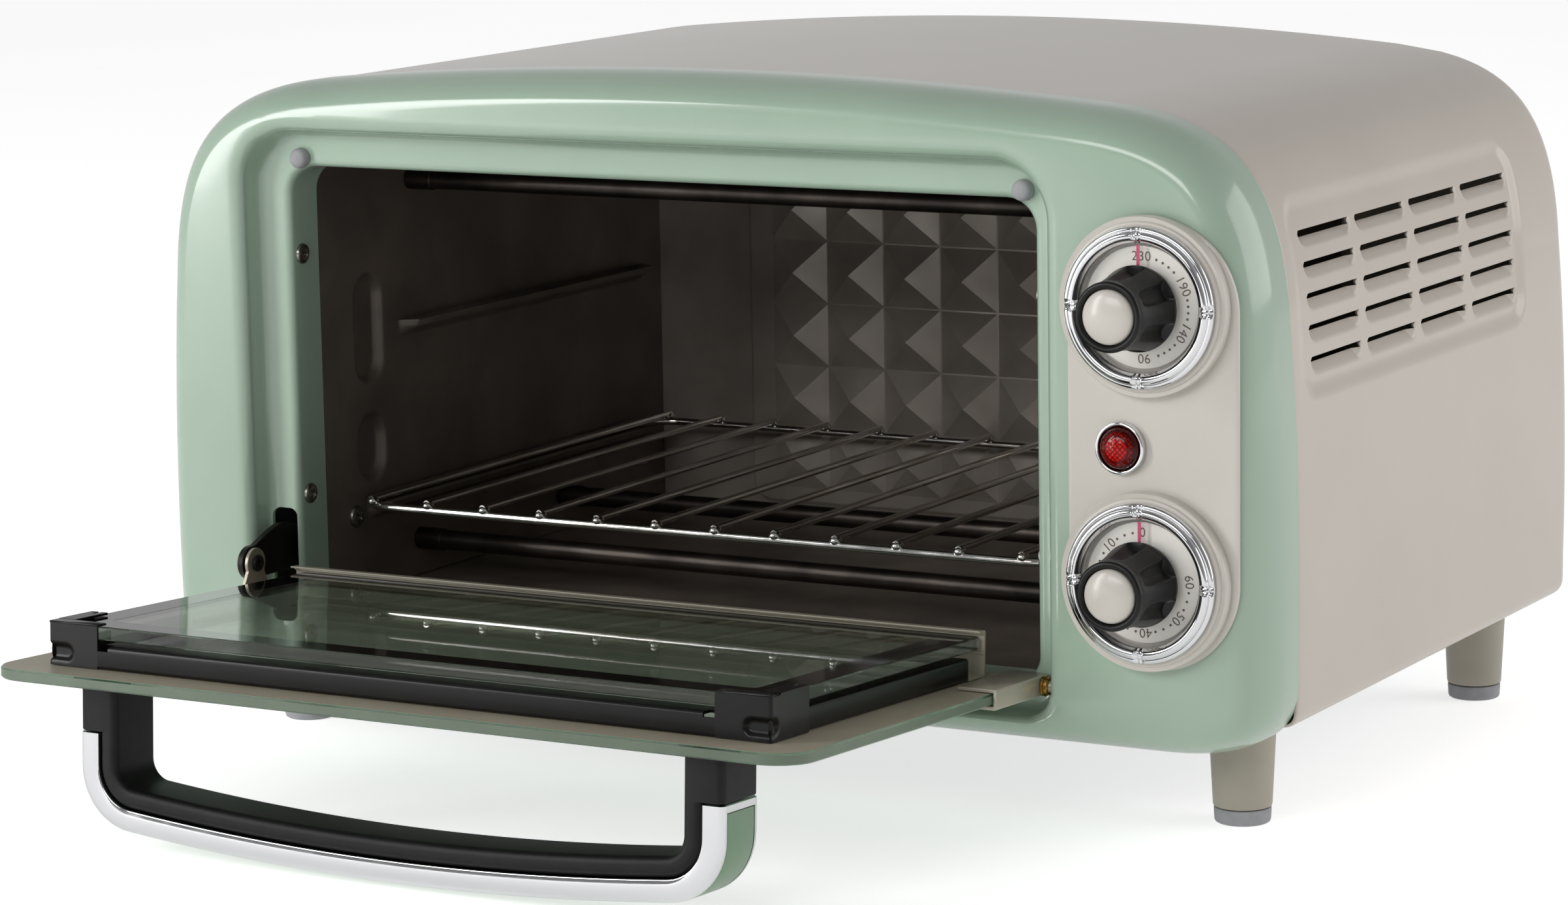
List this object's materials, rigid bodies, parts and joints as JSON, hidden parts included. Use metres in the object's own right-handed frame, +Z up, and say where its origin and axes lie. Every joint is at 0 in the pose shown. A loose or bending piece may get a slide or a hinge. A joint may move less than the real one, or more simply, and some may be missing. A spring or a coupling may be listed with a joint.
{
  "type": "toaster oven",
  "caption": "Retro countertop toaster oven: rounded body on tapered feet, drop-down glass door with bail handle, wire rack, two rotary dials and a pilot lamp.",
  "frame": {"origin": "on the surface it stands on, under the middle of the bounding box of the whole oven with its door open", "axes": "+Z up, +X to the right seen from the front, +Y from the door towards the back"},
  "size_m": [0.3698, 0.3806, 0.2105],
  "materials": {
    "green_enamel": "gloss mint-green enamel on drawn sheet steel",
    "grey_beige_paint": "satin-gloss warm grey-beige powder coat on sheet steel",
    "ivory_abs": "satin-gloss ivory moulded ABS",
    "black_steel": "satin black enamelled pressed steel",
    "black_plastic": "fine matte black moulded phenolic",
    "chrome": "polished chrome plate",
    "brass": "turned brass",
    "zinc_steel": "zinc-plated steel",
    "cavity_liner": "dark grey-brown non-stick coated sheet steel",
    "rack_chrome": "bright plated steel wire",
    "door_glass": "tempered soda-lime glass, painted border",
    "clear_window": "clear polished acrylic",
    "red_lens": "transparent red moulded lens",
    "grey_rubber": "matte grey silicone rubber"
  },
  "bodies": {
    "housing": {"front_fascia": "green_enamel", "body_wrap": "grey_beige_paint", "back_cover": "grey_beige_paint", "base_plate": "zinc_steel", "cord_gland": "black_plastic", "cavity_left_wall": "cavity_liner", "cavity_right_wall": "cavity_liner", "cavity_top": "cavity_liner", "cavity_floor": "cavity_liner", "cavity_back": "cavity_liner", "door_bumper_left": "grey_rubber", "door_bumper_right": "grey_rubber", "control_plate": "ivory_abs", "thermostat": "black_plastic", "timer": "zinc_steel", "lamp_bezel": "chrome", "lamp_lens": "red_lens", "heating_tube_lower_front": "zinc_steel", "heating_tube_lower_rear": "zinc_steel", "heating_tube_upper_front": "zinc_steel", "heating_tube_upper_rear": "zinc_steel", "temperature_ring": "chrome", "temperature_window": "clear_window", "timer_ring": "chrome", "timer_window": "clear_window", "foot_front_left": "grey_beige_paint", "foot_tip_front_left": "grey_rubber", "foot_front_right": "grey_beige_paint", "foot_tip_front_right": "grey_rubber", "foot_rear_left": "grey_beige_paint", "foot_tip_rear_left": "grey_rubber", "foot_rear_right": "grey_beige_paint", "foot_tip_rear_right": "grey_rubber"},
    "door": {"door_glass_outer": "door_glass", "door_glass_inner": "door_glass", "door_channel_front": "black_steel", "door_channel_left": "black_steel", "door_channel_right": "black_steel", "door_corner_clip_left": "black_steel", "door_corner_clip_right": "black_steel", "door_hinge_rail": "grey_beige_paint", "hinge_bracket_left": "grey_beige_paint", "hinge_bracket_right": "grey_beige_paint", "hinge_bush_left": "brass", "hinge_bush_right": "brass", "handle_grip": "black_plastic", "handle_trim": "chrome", "handle_insert": "green_enamel"},
    "link": {"door_link": "black_steel", "link_rivet": "zinc_steel"},
    "rack": {"wire_rack": "rack_chrome"},
    "temperature_dial": {"temperature_disc": "ivory_abs", "temperature_knob": "black_plastic", "temperature_knob_cap": "ivory_abs", "temperature_shaft": "zinc_steel"},
    "timer_dial": {"timer_disc": "ivory_abs", "timer_knob": "black_plastic", "timer_knob_cap": "ivory_abs", "timer_shaft": "zinc_steel"}
  },
  "joints": [
    {"name": "door_hinge", "type": "hinge", "parent": "housing", "child": "door", "pos_m": [0, -0.04946, 0.0423], "axis": [-1, 0, 0], "range_deg": [0, 86.8]},
    {"name": "link_pivot", "type": "hinge", "parent": "door", "child": "link", "pos_m": [0, -0.06394, 0.05942], "axis": [1, 0, 0], "range_deg": [0, 86.9]},
    {"name": "rack_slide", "type": "slide", "parent": "housing", "child": "rack", "axis": [0, -1, 0], "range_m": [0, 0.012]},
    {"name": "temperature_turn", "type": "hinge", "parent": "housing", "child": "temperature_dial", "pos_m": [0.1512, -0.06196, 0.1523], "axis": [0, -1, 0], "range_deg": [0, 230]},
    {"name": "timer_turn", "type": "hinge", "parent": "housing", "child": "timer_dial", "pos_m": [0.1512, -0.06196, 0.0763], "axis": [0, 1, 0], "range_deg": [0, 275]}
  ],
  "couplings": [
    {"joint": "link_pivot", "follows": "door_hinge", "ratio": 1}
  ]
}
